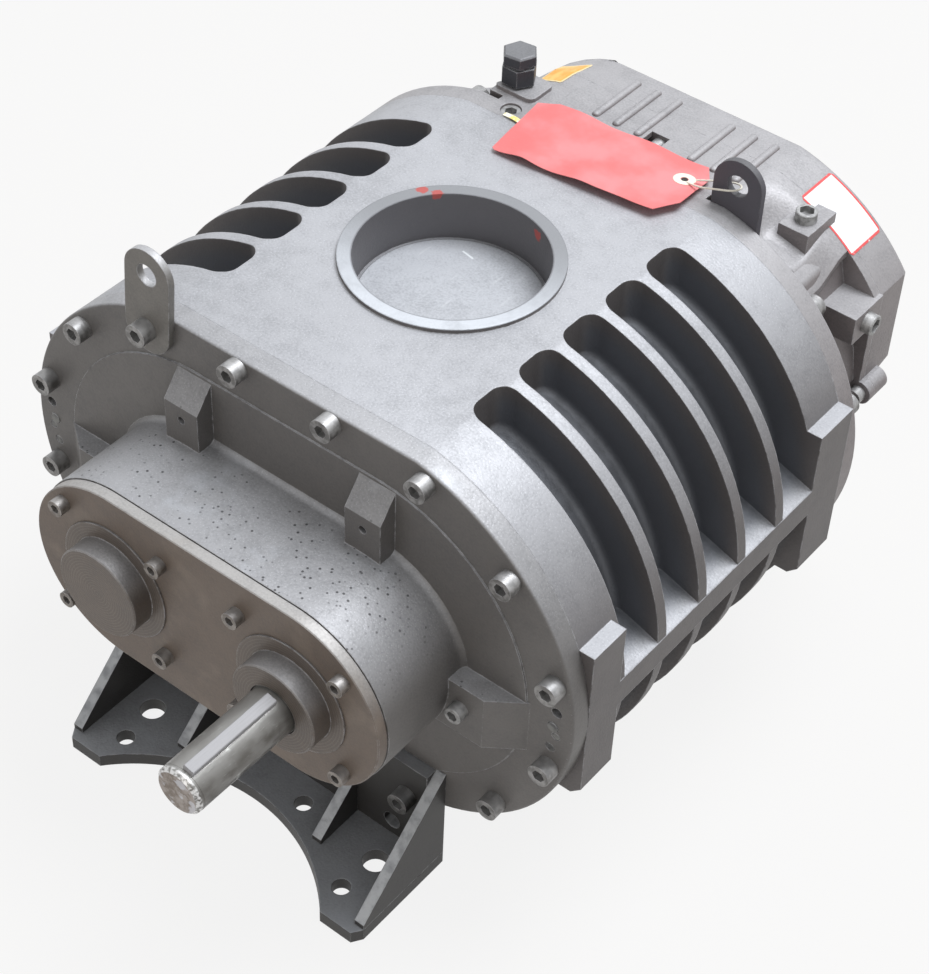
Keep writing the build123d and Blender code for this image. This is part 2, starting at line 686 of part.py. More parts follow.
middle = Plane.XZ.offset(-(face_y + rear_back) / 2)
for name, solids in foot_pieces(upright_tops[0]).items():
    node(f"front_foot_{name}", solids)
for name, solids in foot_pieces(upright_tops[1]).items():
    node(f"rear_foot_{name}", [mirror(s, middle) for s in solids])


# ---- shipping tag and its string --------------------------------------------------------------
tag_length, tag_width, tag_thick = 158.75, 79.4, 0.8
tag_middle = (12.5, face_y + 375.5)
tag_turn = 9.0
tag_rise = 5.0
tag_floor = flat_top + 0.6


def make_tag():
    """Card tag, clipped at the corners beside its eyelet, arched a little above the casing."""
    half = tag_length / 2
    low = ThreePointArc((-half, 0), (0, tag_rise), (half, 0))
    high = ThreePointArc((half, tag_thick), (0, tag_rise + tag_thick), (-half, tag_thick))
    side = make_face(Wire([low, Line(low @ 1, high @ 0), high, Line(high @ 1, low @ 0)]))
    card = extrude(Plane(origin=(0, tag_width / 2, 0), x_dir=(1, 0, 0), z_dir=(0, -1, 0)) * side, tag_width)
    clipped = Polyline((-half, -tag_width / 2), (half - 17, -tag_width / 2), (half, 17 - tag_width / 2),
                       (half, tag_width / 2 - 17), (half - 17, tag_width / 2), (-half, tag_width / 2), close=True)
    card &= extrude(make_face(clipped), 20)
    card -= Pos(half - 14, 0) * extrude(Circle(2.6), 20)
    return Pos(*tag_middle, axis_height + tag_floor) * Rot(0, 0, tag_turn) * card


node("shipping_tag", make_tag())

string_r = 0.8
string_route = [(81, 385.5, 186), (86, 383.5, 189), (93, 381, 191), (101, 379, 194), (110, 378, 198),
                (119, 377.5, 201.5), (126, 379, 203), (131, 384, 203), (131, 391, 202), (125, 395.5, 200),
                (116, 395.5, 197.5), (107, 394, 195), (98, 391.5, 192.5), (90, 388.5, 190.5)]
string_points = [(x, face_y + y, axis_height + z) for x, y, z in string_route]


def corner_radii(points):
    """Largest arc radius for each corner of a route, from its two runs and its turn."""
    radii = []
    for before, here, after in zip(points, points[1:], points[2:]):
        first, second = Vector(*here) - Vector(*before), Vector(*after) - Vector(*here)
        turn = math.radians(first.get_angle(second))
        radii.append(0.45 * min(first.length, second.length) / math.tan(turn / 2))
    return radii


string_path = FilletPolyline(*string_points, radius=corner_radii(string_points))
string_start = Plane(string_path @ 0, z_dir=string_path % 0)
string = sweep(string_start * Circle(string_r), path=string_path)
node("tag_string", string)
os.makedirs("parts", exist_ok=True)
for name, solids in nodes.items():
    export_step(Compound(children=solids) if len(solids) > 1 else solids[0], f"parts/{name}.step")
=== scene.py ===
import json
import math

import bmesh
import bpy
from mathutils import Matrix, Vector, noise


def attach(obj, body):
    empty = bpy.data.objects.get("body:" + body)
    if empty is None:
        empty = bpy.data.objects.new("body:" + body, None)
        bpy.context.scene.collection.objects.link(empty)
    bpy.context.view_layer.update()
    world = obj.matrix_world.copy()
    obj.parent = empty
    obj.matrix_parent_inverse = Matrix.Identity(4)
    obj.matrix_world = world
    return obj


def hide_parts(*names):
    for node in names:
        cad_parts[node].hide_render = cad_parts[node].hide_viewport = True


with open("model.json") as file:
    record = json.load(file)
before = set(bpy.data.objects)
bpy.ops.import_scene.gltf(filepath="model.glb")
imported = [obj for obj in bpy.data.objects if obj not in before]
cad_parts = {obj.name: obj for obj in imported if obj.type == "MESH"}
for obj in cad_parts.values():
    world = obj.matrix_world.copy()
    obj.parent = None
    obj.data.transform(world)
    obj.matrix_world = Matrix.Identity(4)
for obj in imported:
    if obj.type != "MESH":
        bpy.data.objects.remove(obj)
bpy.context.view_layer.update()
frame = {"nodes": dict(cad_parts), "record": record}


# ---- room: floor, soft lights, camera ------------------------------------------------------------
# A plain pale floor under the feet, one broad soft lamp overhead and behind, and a faint
# warm one low in front, as in a small studio tent.
class Reading:
    """One output of a node. Arithmetic on it adds the Math nodes that work it out."""

    def __init__(self, finish, socket):
        self.finish, self.socket = finish, socket

    def __add__(self, other):
        return self.finish.sum("ADD", self, other)

    def __sub__(self, other):
        return self.finish.sum("SUBTRACT", self, other)

    def __rsub__(self, other):
        return self.finish.sum("SUBTRACT", other, self)

    def __mul__(self, other):
        return self.finish.sum("MULTIPLY", self, other)

    __radd__ = __add__
    __rmul__ = __mul__

    def step(self, low, high):
        """0 below low, 1 above high, smooth between; low above high turns it round."""
        return self.finish.add("ShaderNodeMapRange", {"interpolation_type": "SMOOTHSTEP"},
                               {0: self, 1: low, 2: high, 3: 0.0, 4: 1.0})


class Finish:
    """A node material being mixed. Patterns lie on Object coordinates, in metres."""

    def __init__(self, name):
        self.material = bpy.data.materials.new(name)
        self.material.use_nodes = True
        self.tree = self.material.node_tree
        self.tree.nodes.clear()
        self.place = self.add("ShaderNodeTexCoord", output="Object")
        self.across, self.along, self.up = (self.add("ShaderNodeSeparateXYZ", {}, {0: self.place}, i)
                                            for i in range(3))

    def add(self, kind, settings={}, sockets={}, output=0):
        """Adds one node: its settings first, then the values or links of its sockets."""
        node = self.tree.nodes.new(kind)
        for key, value in settings.items():
            setattr(node, key, value)
        for key, value in sockets.items():
            if isinstance(value, Reading):
                self.tree.links.new(value.socket, node.inputs[key])
            else:
                node.inputs[key].default_value = value
        return Reading(self, node.outputs[output])

    def sum(self, operation, first, second):
        return self.add("ShaderNodeMath", {"operation": operation}, {0: first, 1: second})

    def mix(self, amount, first, second, blend="MIX"):
        colours = [c if isinstance(c, Reading) else (*c, 1.0) for c in (first, second)]
        return self.add("ShaderNodeMix", {"data_type": "RGBA", "blend_type": blend},
                        {0: amount, 6: colours[0], 7: colours[1]}, 2)

    def grain(self, size, detail=2.0, stretch=None):
        """Cloudy noise whose patches are about size metres across."""
        place = self.place
        if stretch:
            place = self.add("ShaderNodeMapping", {}, {0: place, 3: stretch})
        return self.add("ShaderNodeTexNoise", {}, {"Vector": place, "Scale": 1 / size, "Detail": detail})

    def pits(self, size):
        """Distance to the nearest of many scattered points, about size metres apart."""
        return self.add("ShaderNodeTexVoronoi", {}, {"Vector": self.place, "Scale": 1 / size})

    def rough(self, height, depth, normal=None):
        """A Bump node: height in 0..1 over depth metres."""
        sockets = {"Height": height, "Strength": 1.0, "Distance": depth}
        if normal:
            sockets["Normal"] = normal
        return self.add("ShaderNodeBump", {}, sockets)

    def facing(self, axis):
        """How far the surface looks along X, Y or Z (0, 1, 2), from -1 to 1."""
        return self.add("ShaderNodeSeparateXYZ", {}, {0: self.add("ShaderNodeTexCoord", output="Normal")}, axis)

    def rounded(self, radius):
        """Normal that rounds every edge over by radius, and how much it bends there (0..1)."""
        soft = self.add("ShaderNodeBevel", {"samples": 4}, {"Radius": radius})
        flat = self.add("ShaderNodeNewGeometry", output="Normal")
        meet = self.add("ShaderNodeVectorMath", {"operation": "DOT_PRODUCT"}, {0: soft, 1: flat}, 1)
        return soft, 1.0 - meet

    def done(self, **sockets):
        """The Principled surface with these sockets, spaces written as underscores."""
        named = {key.replace("_", " "): value if isinstance(value, (Reading, float, int)) else (*value, 1.0)
                 for key, value in sockets.items()}
        surface = self.add("ShaderNodeBsdfPrincipled", {}, named)
        out = self.tree.nodes.new("ShaderNodeOutputMaterial")
        self.tree.links.new(surface.socket, out.inputs[0])
        return self.material


def look(obj, material):
    obj.data.materials.clear()
    obj.data.materials.append(material)
    return obj


scene = bpy.context.scene
scene.view_settings.view_transform = "Standard"
bpy.ops.object.select_all(action="DESELECT")
bpy.ops.mesh.primitive_plane_add(size=9.0)
floor = bpy.context.object
floor.name = "studio_floor"
paper = Finish("pale floor paper")
seen = paper.add("ShaderNodeLightPath", output="Is Camera Ray")
for ray in ("Is Glossy Ray", "Is Transmission Ray"):
    seen = seen + paper.add("ShaderNodeLightPath", output=ray)
matt = paper.add("ShaderNodeBsdfDiffuse", {}, {0: paper.mix(paper.grain(0.3), (0.60, 0.58, 0.56), (0.62, 0.60, 0.58))})
glow = paper.add("ShaderNodeEmission", {}, {0: (1, 1, 1, 1), 1: 1.0})
cover = paper.add("ShaderNodeMixShader", {}, {0: seen * 0.86, 1: matt, 2: glow})
out = paper.tree.nodes.new("ShaderNodeOutputMaterial")
paper.tree.links.new(cover.socket, out.inputs[0])
look(floor, paper.material)

world = bpy.data.worlds.new("pale room")
scene.world = world
world.use_nodes = True
air = world.node_tree.nodes["Background"]
rays = world.node_tree.nodes.new("ShaderNodeLightPath")
sky = world.node_tree.nodes.new("ShaderNodeMapRange")
shown = rays.outputs["Is Camera Ray"]
for ray in ("Is Glossy Ray", "Is Transmission Ray"):
    either = world.node_tree.nodes.new("ShaderNodeMath")
    either.operation = "MAXIMUM"
    world.node_tree.links.new(shown, either.inputs[0])
    world.node_tree.links.new(rays.outputs[ray], either.inputs[1])
    shown = either.outputs[0]
sky.inputs[3].default_value = 0.42
sky.inputs[4].default_value = 1.0
world.node_tree.links.new(shown, sky.inputs[0])
world.node_tree.links.new(sky.outputs[0], air.inputs[1])
air.inputs[0].default_value = (1, 1, 1, 1)


def lamp(name, place, aim, size, watts, colour):
    data = bpy.data.lights.new(name, "AREA")
    data.shape, data.size, data.energy, data.color = "DISK", size, watts, colour
    obj = bpy.data.objects.new(name, data)
    scene.collection.objects.link(obj)
    obj.location = place
    obj.rotation_euler = (Vector(aim) - Vector(place)).to_track_quat("-Z", "Y").to_euler()


lamp("overhead", (0.5, 0.9, 3.0), (0, 0, 0.3), 1.8, 75, (0.95, 0.97, 1.0))
lamp("front_fill", (0.3, -3.0, 0.9), (0, 0, 0.25), 1.6, 9, (1.0, 0.90, 0.80))

azimuth, elevation, roll = math.radians(36.56), math.radians(44.19), 0.0477
picture_side, focal_share, sensor = 974, 2280.5 / 974, 36.0
back = Vector((math.sin(azimuth) * math.cos(elevation), -math.cos(azimuth) * math.cos(elevation),
               math.sin(elevation)))
level = (-back).cross(Vector((0, 0, 1))).normalized()
rise = level.cross(-back)
right = math.cos(roll) * level + math.sin(roll) * rise
upward = -math.sin(roll) * level + math.cos(roll) * rise
camera_data = bpy.data.cameras.new("camera")
camera = bpy.data.objects.new("camera", camera_data)
scene.collection.objects.link(camera)
turned = Matrix((right, upward, back)).transposed().to_4x4()
camera.matrix_world = Matrix.Translation((0.8337, -1.0366, 1.5076)) @ turned
camera_data.sensor_width = sensor
camera_data.lens = focal_share * sensor
camera_data.shift_x, camera_data.shift_y = -4.3 / picture_side, 6.9 / picture_side
camera_data.clip_end = 50
scene.camera = camera


# ---- rotor casing --------------------------------------------------------------------------------
# Grey iron casting with a raised inlet flange on top and five cooling pockets down each side.
# It wears a sprayed gun-metal enamel with rubbed light along the edges, painted shade in the pockets and inside the
# inlet, and painted light on the pocket floors; the flange's rim was cleaned bare for its gasket, a grey ring with a
# painted highlight along its front part, and is marked with red paint.
axis_up = 0.2413
round_middle, outline_radius, flat_top = 0.086, 0.186, 0.1825
port_y, rim_z = 0.052, 0.4275


def dressed(node, name, angle=28.0):
    """A copy of a CAD solid as a piece of its own: corners merged, curved walls smooth."""
    source = frame["nodes"][node]
    piece = bpy.data.objects.new(name, source.data.copy())
    scene.collection.objects.link(piece)
    mesh = bmesh.new()
    mesh.from_mesh(piece.data)
    bmesh.ops.remove_doubles(mesh, verts=mesh.verts, dist=1e-6)
    bmesh.ops.dissolve_degenerate(mesh, edges=mesh.edges, dist=1e-7)
    for edge in mesh.edges:
        edge.smooth = len(edge.link_faces) == 2 and edge.calc_face_angle(0) < math.radians(angle)
    for face in mesh.faces:
        face.smooth = True
    mesh.to_mesh(piece.data)
    mesh.free()
    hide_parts(node)
    belongs(piece, node)
    return piece


def belongs(piece, node):
    """Ride with a CAD node's body."""
    record = frame["record"]
    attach(piece, next(body for body, nodes in record["behaviour"]["bodies"].items() if node in nodes))


class Enamel(Finish):
    """Metallic grey enamel over rough cast iron, before its last coat is mixed. Upward faces are painted in the top
    colour as painted light, and other faces in the front colour as painted shade.
    """

    def __init__(self, name, top, front, wear=1.0, sparkle=1.0):
        super().__init__(name)
        self.soft, self.bend = self.rounded(0.0016)
        self.blotches = self.grain(0.014, 3.0)
        self.sand = self.grain(0.0019, 2.0)
        self.flecks = self.pits(0.0021)
        self.lying = self.facing(2).step(0.22, 0.98)
        self.shade = self.grain(0.09, 3.0) * 0.4 + self.blotches * 0.35 + self.sand * 0.5
        # Painted light and shade: faces that look up take the lighter top colour, as if lit from above, and the rest
        # take the darker front colour; the warm tint of most front colours is a painted reflection.
        self.colour = self.mix(self.lying, front, top)
        self.lay(self.shade.step(0.74, 0.36) * 0.34, (0.08, 0.082, 0.09))
        # Painted glints: bright metallic flecks are laid on the upward faces only, as if lit from above.
        self.lay(self.flecks.step(0.30, 0.10) * self.lying * (0.22 * sparkle), (0.92, 0.94, 1.0))
        rubbed = self.bend.step(0.02, 0.22) * self.grain(0.007, 3.0).step(0.30, 0.62)
        self.lay(rubbed * (0.7 * wear), (0.66, 0.67, 0.70))

    def lay(self, amount, colour):
        """Lays another colour over what is there, by amount."""
        self.colour = self.mix(amount, self.colour, colour)

    def spot(self, middle, size, colour, strength=0.85):
        """A ragged daub of paint about a place."""
        away = self.add("ShaderNodeVectorMath", {"operation": "DISTANCE"}, {0: self.place, 1: middle}, 1)
        ragged = away + (self.grain(0.004, 3.0) - 0.5) * (size * 1.1)
        self.lay(ragged.step(size, size * 0.7) * strength, colour)

    def within(self, reading, low, high, soft=0.0006):
        """1 where the reading lies between low and high."""
        return reading.step(low - soft, low + soft) * reading.step(high + soft, high - soft)

    def coat(self, metallic=0.25, roughness=0.42):
        bump = self.rough(self.sand * 0.7 + self.blotches * 0.5 + self.flecks * 0.4, 0.00024, self.soft)
        return self.done(Base_Color=self.colour, Metallic=metallic,
                         Roughness=roughness + (1.0 - self.shade) * 0.22, Normal=bump)


def absolute(finish, reading):
    return finish.add("ShaderNodeMath", {"operation": "ABSOLUTE"}, {0: reading})


def distance(finish, first, second):
    """Length of the hypotenuse of two readings."""
    return finish.add("ShaderNodeMath", {"operation": "SQRT"}, {0: first * first + second * second})


casing_paint = Enamel("casing enamel", (0.49, 0.50, 0.53), (0.135, 0.124, 0.122))
side_in = absolute(casing_paint, casing_paint.across) - round_middle
height = casing_paint.up - axis_up
hollow = distance(casing_paint, side_in, height).step(0.1835, 0.166) * side_in.step(0.029, 0.034)
hollow = hollow * absolute(casing_paint, casing_paint.along - 0.0505).step(0.1335, 0.1325)
# Painted shade: the pocket walls and floors are laid a dark blue-grey.
casing_paint.lay(hollow * 0.80, (0.135, 0.145, 0.165))
# Painted light: lighter patches on the pocket floors that face up.
casing_paint.lay(hollow * casing_paint.lying * casing_paint.blotches.step(0.40, 0.70) * 0.35, (0.34, 0.36, 0.40))
from_port = distance(casing_paint, casing_paint.across, casing_paint.along - port_y)
on_rim = from_port.step(0.0895, 0.0885) * from_port.step(0.0765, 0.0772)
on_rim = casing_paint.up.step(rim_z - 0.0009, rim_z - 0.0004) * on_rim
# Painted highlight: the front part of the rim is laid a bright bluish white.
painted_highlight_side = (casing_paint.along * -1.0 + casing_paint.across * 0.35).step(-0.10, 0.04)
casing_paint.lay(on_rim, (0.30, 0.31, 0.33))
casing_paint.lay(on_rim * painted_highlight_side * (casing_paint.blotches.step(0.25, 0.6) * 0.3 + 0.5), (0.74, 0.78, 0.84))
# Painted shade: the casing inside the inlet is laid darker.
in_port = from_port.step(0.0785, 0.0775)
casing_paint.lay(in_port * 0.55, (0.16, 0.16, 0.175))
for spot in ((-0.070, 0.1013, rim_z), (-0.057, 0.1045, rim_z), (0.0285, 0.1255, 0.4185)):
    casing_paint.spot(spot, 0.0058, (0.56, 0.09, 0.075))
look(dressed("casing", "rotor_casing"), casing_paint.coat())


# ---- shipping disc in the inlet ------------------------------------------------------------------
# Plain steel disc laid on the ledge inside the inlet for transport, so that nothing falls on
# the rotors. It is dusted with overspray and has one long bright scratch.
disc_paint = Enamel("shipping disc overspray", (0.58, 0.60, 0.64), (0.25, 0.25, 0.26), sparkle=0.5)
scratch_left, scratch_back, scratch_half, scratch_width = 0.024, 0.1036, 0.0062, 0.0009
along_scratch = (disc_paint.across + scratch_left) * 0.98 + (disc_paint.along - scratch_back) * -0.18
off_scratch = (disc_paint.across + scratch_left) * 0.18 + (disc_paint.along - scratch_back) * 0.98
scratched = disc_paint.within(off_scratch, -scratch_width, scratch_width)
disc_paint.lay(scratched * disc_paint.within(along_scratch, -scratch_half, scratch_half) * 0.9, (0.93, 0.97, 1.0))
rub = disc_paint.grain(0.004, 4.0, stretch=(1.0, 0.12, 1.0))
disc_paint.lay(rub.step(0.60, 0.72) * 0.35, (0.72, 0.74, 0.77))
look(dressed("inlet_shipping_disc", "inlet_shipping_disc_plate"), disc_paint.coat(0.2, 0.42))


# ---- drive-end head ------------------------------------------------------------------------------
# Iron head casting with the oval bearing housing standing out of it, two machining blocks, two
# drain bosses and the pads that the front foot is screwed to. Soot has settled on the housing.
head_paint = Enamel("drive head enamel", (0.44, 0.445, 0.465), (0.158, 0.150, 0.144))
specks = head_paint.pits(0.0056).step(0.25, 0.12) * head_paint.grain(0.028, 3.0).step(0.42, 0.54)
head_paint.lay(specks * head_paint.lying * head_paint.along.step(-0.150, -0.158) * 0.85, (0.03, 0.03, 0.032))
# Painted light: pale bluish patches on the upward faces of the head.
head_paint.lay(head_paint.grain(0.05, 4.0).step(0.56, 0.72) * head_paint.lying * 0.30, (0.70, 0.74, 0.80))
look(dressed("drive_end_head", "drive_end_head_casting"), head_paint.coat())


# ---- gear-end head -------------------------------------------------------------------------------
# Iron casting behind the casing with a flat ribbed roof, a lower shoulder behind the rear lug
# and the raised pads of the vent and the plugs. The shoulder swells up into the gear case.
gear_paint = Enamel("gear head enamel", (0.43, 0.425, 0.44), (0.26, 0.235, 0.235), sparkle=0.5)
flange_back = 0.2435

# The left shoulder slopes down towards the back: heights above the axes at these distances to
# the left, at four places along the pump.
slope_across = (-0.060, -0.082, -0.098, -0.113, -0.128, -0.148, -0.175, -0.205, -0.255, -0.280)
slope_along = (0.260, 0.290, 0.314, 0.357)
slope_heights = ((0.250, 0.250, 0.250, 0.190, 0.174, 0.165, 0.151, 0.135, 0.110, 0.095),
                 (0.1825, 0.1825, 0.178, 0.168, 0.160, 0.150, 0.137, 0.122, 0.095, 0.080),
                 (0.1825, 0.1825, 0.179, 0.162, 0.150, 0.138, 0.125, 0.109, 0.083, 0.069),
                 (0.1825, 0.1750, 0.167, 0.157, 0.144, 0.119, 0.105, 0.089, 0.064, 0.051))


def share_between(value, stops):
    """The step of the stops that a value falls in, and how far along that step it is."""
    for step in range(len(stops) - 1):
        share = (value - stops[step]) / (stops[step + 1] - stops[step])
        if share <= 1.0 or step == len(stops) - 2:
            return step, max(0.0, min(1.0, share))


def left_slope(across, along):
    column, over = share_between(across, slope_across)
    row, back = share_between(along, slope_along)
    near, far = (heights[column] + (heights[column + 1] - heights[column]) * over
                 for heights in slope_heights[row:row + 2])
    return near + (far - near) * back


def on_slope(point):
    return point.x < slope_across[0] + 0.001 and point.y > flange_back


def sloped(piece, wall=0.009, lowest=0.04):
    """The cast piece with its left shoulder cut down to the slope, and its hollow kept a wall below."""
    mesh = bmesh.new()
    mesh.from_mesh(piece.data)
    cuts = [((place, 0, 0), (1, 0, 0)) for place in slope_across]
    cuts += [((0, place, 0), (0, 1, 0)) for place in (0.290, 0.302, 0.335)]
    for point, normal in cuts:
        faces = [face for face in mesh.faces
                 if any(on_slope(v.co) and v.co.z > axis_up + lowest for v in face.verts)]
        edges = {edge for face in faces for edge in face.edges}
        corners = {corner for face in faces for corner in face.verts}
        bmesh.ops.bisect_plane(mesh, geom=faces + list(edges) + list(corners), plane_co=point, plane_no=normal)
    mesh.to_mesh(piece.data)
    mesh.free()
    facing_down = [vertex.normal.z < -0.02 for vertex in piece.data.vertices]
    for vertex, hollow_side in zip(piece.data.vertices, facing_down):
        if on_slope(vertex.co):
            top = axis_up + left_slope(vertex.co.x, vertex.co.y) - (wall if hollow_side else 0.0)
            vertex.co.z = min(vertex.co.z, top)
    return piece


look(sloped(dressed("gear_end_head", "gear_end_head_casting")), gear_paint.coat())

# The right shoulder stays low beside the head screws and swells up to the gear case behind them.
swell_from, swell_to, swell_x = 0.2505, 0.3135, (0.1165, 0.2035)
step_from, step_wide, shoulder_high, shoulder_end = 0.118, 0.036, 0.155, 0.186
bpy.ops.object.select_all(action="DESELECT")
bpy.ops.mesh.primitive_grid_add(x_subdivisions=44, y_subdivisions=30, size=1.0)
swell = bpy.context.object
swell.name = "gear_head_shoulder"
for vertex in swell.data.vertices:
    across = swell_x[0] + (vertex.co.x + 0.5) * (swell_x[1] - swell_x[0])
    along = swell_from + (vertex.co.y + 0.5) * (swell_to - swell_from)
    rest = max(0.0, min(1.0, (across - step_from) / step_wide))
    low = flat_top - (flat_top - shoulder_high) * rest * rest * (3 - 2 * rest)
    if across > step_from + step_wide:
        low = shoulder_high - (across - step_from - step_wide) * 0.21 - max(0.0, across - shoulder_end) * 0.9
    full = min(flat_top, math.sqrt(outline_radius ** 2 - max(0.0, across - round_middle) ** 2))
    turn = max(0.0, min(1.0, (along - 0.262) / 0.040))
    turn = turn * turn * (3 - 2 * turn)
    vertex.co = (across, along, axis_up + low + (full - low) * turn + 0.0002)
bpy.ops.object.mode_set(mode="EDIT")
bpy.ops.mesh.select_all(action="SELECT")
bpy.ops.mesh.extrude_region_move(TRANSFORM_OT_translate={"value": (0, 0, -0.006)})
bpy.ops.mesh.select_all(action="SELECT")
bpy.ops.mesh.normals_make_consistent(inside=False)
bpy.ops.object.mode_set(mode="OBJECT")
bpy.ops.object.shade_smooth_by_angle(angle=math.radians(40))
look(swell, gear_paint.material)
belongs(swell, "gear_end_head")


# ---- gear roof and its ribs ----------------------------------------------------------------------
# Cast roof of the gear end, closed over the head screws but for a notch round one of them. It
# carries two groups of three cast ribs with rounded ends that run on over the gear cover.
roof_z, notch_x, notch_y = axis_up + flat_top, (0.0185, 0.0375), 0.272
roof_wide, roof_from, roof_long, roof_thick = 0.128, 0.2442, 0.0467, 0.005
bpy.ops.object.select_all(action="DESELECT")
bpy.ops.mesh.primitive_grid_add(x_subdivisions=66, y_subdivisions=24, size=1.0)
roof = bpy.context.object
roof.name = "gear_head_roof"
for vertex in roof.data.vertices:
    vertex.co = (vertex.co.x * roof_wide, roof_from + (vertex.co.y + 0.5) * roof_long, roof_z + 0.0002)
bpy.ops.object.mode_set(mode="EDIT")
bpy.ops.mesh.select_all(action="DESELECT")
bpy.ops.object.mode_set(mode="OBJECT")
for polygon in roof.data.polygons:
    middle = polygon.center
    polygon.select = notch_x[0] < middle.x < notch_x[1] and middle.y > notch_y
bpy.ops.object.mode_set(mode="EDIT")
bpy.ops.mesh.delete(type="FACE")
bpy.ops.mesh.select_all(action="SELECT")
bpy.ops.mesh.extrude_region_move(TRANSFORM_OT_translate={"value": (0, 0, -roof_thick)})
bpy.ops.mesh.select_all(action="SELECT")
bpy.ops.mesh.normals_make_consistent(inside=False)
bpy.ops.object.mode_set(mode="OBJECT")
look(roof, gear_paint.material)
belongs(roof, "gear_end_head")

rib_xs = (-0.0295, -0.0088, 0.0125, 0.0655, 0.0875, 0.1085)
rib_r, rib_from, rib_to = 0.0038, 0.2790, 0.337
for number, rib_x in enumerate(rib_xs):
    bpy.ops.object.select_all(action="DESELECT")
    bpy.ops.mesh.primitive_uv_sphere_add(segments=24, ring_count=12, radius=rib_r)
    rib = bpy.context.object
    rib.name = f"roof_rib_{number}"
    for vertex in rib.data.vertices:
        end = rib_to if vertex.co.y > 1e-6 else rib_from
        vertex.co = (rib_x + vertex.co.x, end + vertex.co.y, roof_z - 0.0003 + vertex.co.z * 0.92)
    bpy.ops.object.shade_smooth_by_angle(angle=math.radians(60))
    look(rib, gear_paint.material)
    belongs(rib, "gear_cover")


# ---- head screws and dowels ----------------------------------------------------------------------
# Half-inch socket head cap screws, black oxide with dusty enamel on them and painted light on their upward faces,
# through the heads into the casing, and the hardened dowels and socket set screws beside the joint line.
def screw_finish(name, dark, light, metallic, roughness):
    steel = Finish(name)
    soft, bend = steel.rounded(0.0008)
    film = steel.grain(0.006, 3.0)
    colour = steel.mix(film.step(0.35, 0.65), dark, light)
    # Painted light: upward faces are mixed towards a light grey, as if lit from above.
    colour = steel.mix(steel.facing(2).step(0.2, 0.9) * 0.35, colour, (0.62, 0.63, 0.65))
    colour = steel.mix(bend.step(0.04, 0.25) * 0.5, colour, (0.66, 0.66, 0.67))
    knurl = steel.grain(0.0012, 2.0)
    return steel.done(Base_Color=colour, Metallic=metallic, Roughness=roughness + film * 0.2,
                      Normal=steel.rough(knurl, 0.00012, soft))


head_screw_finish = screw_finish("head screw oxide", (0.17, 0.165, 0.16), (0.34, 0.335, 0.33), 0.55, 0.34)
look(dressed("drive_head_screws", "drive_head_cap_screws"), head_screw_finish)
look(dressed("gear_head_screws", "gear_head_cap_screws"), head_screw_finish)
look(dressed("head_dowels", "head_dowel_pins"),
     screw_finish("dowel steel", (0.10, 0.10, 0.10), (0.22, 0.22, 0.21), 0.7, 0.4))


# ---- bearing cover, its gasket and screws --------------------------------------------------------
# Flat oval plate over both bearings, spigoted on a thin dark gasket and held by eight 3/8 screws.
# Its front faces are painted a dark brown, as painted shade with a warm painted reflection, its enamel has brown
# blotches, and it is bare along the rim.
cover_paint = Enamel("bearing cover enamel", (0.50, 0.49, 0.48), (0.165, 0.130, 0.105), sparkle=0.4)
cover_paint.lay(cover_paint.grain(0.035, 3.0).step(0.52, 0.72) * 0.22, (0.32, 0.27, 0.22))
look(dressed("bearing_cover_plate", "bearing_cover_oval_plate"), cover_paint.coat())
gasket = Finish("gasket sheet")
fibres = gasket.grain(0.003, 4.0)
look(dressed("bearing_cover_gasket", "bearing_cover_gasket_sheet"),
     gasket.done(Base_Color=gasket.mix(fibres, (0.025, 0.024, 0.022), (0.06, 0.055, 0.05)), Roughness=0.85,
                 Normal=gasket.rough(fibres, 0.0001)))
look(dressed("bearing_cover_screws", "bearing_cover_cap_screws"),
     screw_finish("cover screw oxide", (0.15, 0.13, 0.115), (0.30, 0.275, 0.25), 0.55, 0.36))


# ---- blind bearing cap and shaft seal cap --------------------------------------------------------
# Two turned caps on the cover: the left one is closed over the driven shaft's end, and the right
# one holds the lip seal that the drive shaft runs in. Their faces show fine turning marks.
cap_paint = Enamel("cap enamel", (0.33, 0.325, 0.33), (0.14, 0.115, 0.096), sparkle=0.3)
cap_middle = 0.0889
turning = distance(cap_paint, absolute(cap_paint, cap_paint.across) - cap_middle, cap_paint.up - axis_up) * 2600.0
turning = cap_paint.add("ShaderNodeMath", {"operation": "SINE"}, {0: turning})
cap_paint.lay(turning.step(0.3, 1.0) * cap_paint.facing(1).step(-0.5, -0.9) * 0.10, (0.5, 0.46, 0.42))
cap_coat = cap_paint.coat(0.3, 0.38)
look(dressed("blind_bearing_cap", "blind_bearing_cap_turned"), cap_coat)
look(dressed("shaft_seal_cap", "shaft_seal_cap_turned"), cap_coat)
rubber = Finish("lip seal rubber")
look(dressed("drive_shaft_lip_seal", "drive_shaft_lip_seal_ring"),
     rubber.done(Base_Color=rubber.mix(rubber.grain(0.004), (0.012, 0.012, 0.013), (0.03, 0.029, 0.028)),
                 Roughness=rubber.grain(0.006) * 0.3 + 0.4))


# ---- drive shaft, its key and the driven shaft ---------------------------------------------------
# Ground steel shafts. The extension is wrapped in clear rust-proof film for shipping, so it is greyish and streaky,
# with a soft painted highlight along the top of the shafts, and its chamfered tip is knocked bright and brown.
shaft = Finish("shaft steel")
shaft_tip = -0.357
soft = shaft.rounded(0.0008)[0]
from_tip = shaft.along - shaft_tip
scratches = shaft.grain(0.0012, 3.0, stretch=(1.0, 0.10, 1.0))
film = shaft.grain(0.011, 4.0, stretch=(1.0, 0.55, 1.0))
colour = shaft.mix(film.step(0.34, 0.66), (0.105, 0.098, 0.088), (0.20, 0.195, 0.185))
